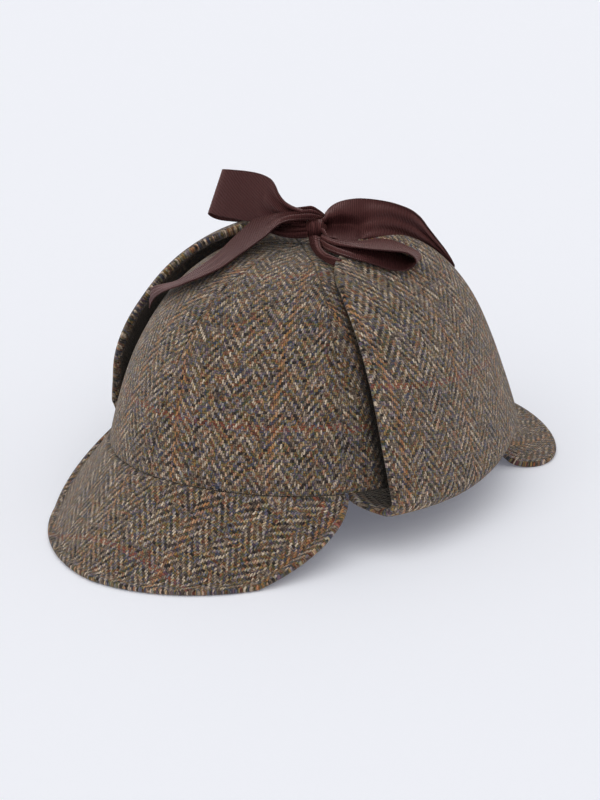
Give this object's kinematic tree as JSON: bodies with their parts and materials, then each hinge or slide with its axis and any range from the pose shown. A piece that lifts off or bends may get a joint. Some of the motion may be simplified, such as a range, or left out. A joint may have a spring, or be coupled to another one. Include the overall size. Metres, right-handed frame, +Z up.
{
  "type": "deerstalker hat",
  "caption": "Deerstalker hat in herringbone tweed: a domed panelled crown, a peak at front and back, and ear flaps folded up and tied over the crown in a ribbon bow",
  "frame": {"origin": "on the surface the hat rests on, under the middle of its bounding box", "axes": "+Z up, the front of the hat faces -Y, the wearer's left is +X"},
  "size_m": [0.2043, 0.3026, 0.1573],
  "materials": {
    "tweed": "matte, fuzzy wool tweed",
    "ribbon": "dull sheen, fine cross ribs"
  },
  "bodies": {
    "root": {"crown_panel_front_left": "tweed", "crown_panel_left": "tweed", "crown_panel_back_left": "tweed", "crown_panel_back_right": "tweed", "crown_panel_right": "tweed", "crown_panel_front_right": "tweed", "front_peak": "tweed", "back_peak": "tweed", "ear_flap_left": "tweed", "ear_flap_right": "tweed", "flap_tie_left": "ribbon", "flap_tie_right": "ribbon", "bow_knot": "ribbon", "bow_loop_left": "ribbon", "bow_loop_right": "ribbon", "bow_tail_left": "ribbon", "bow_tail_right": "ribbon"}
  },
  "joints": []
}
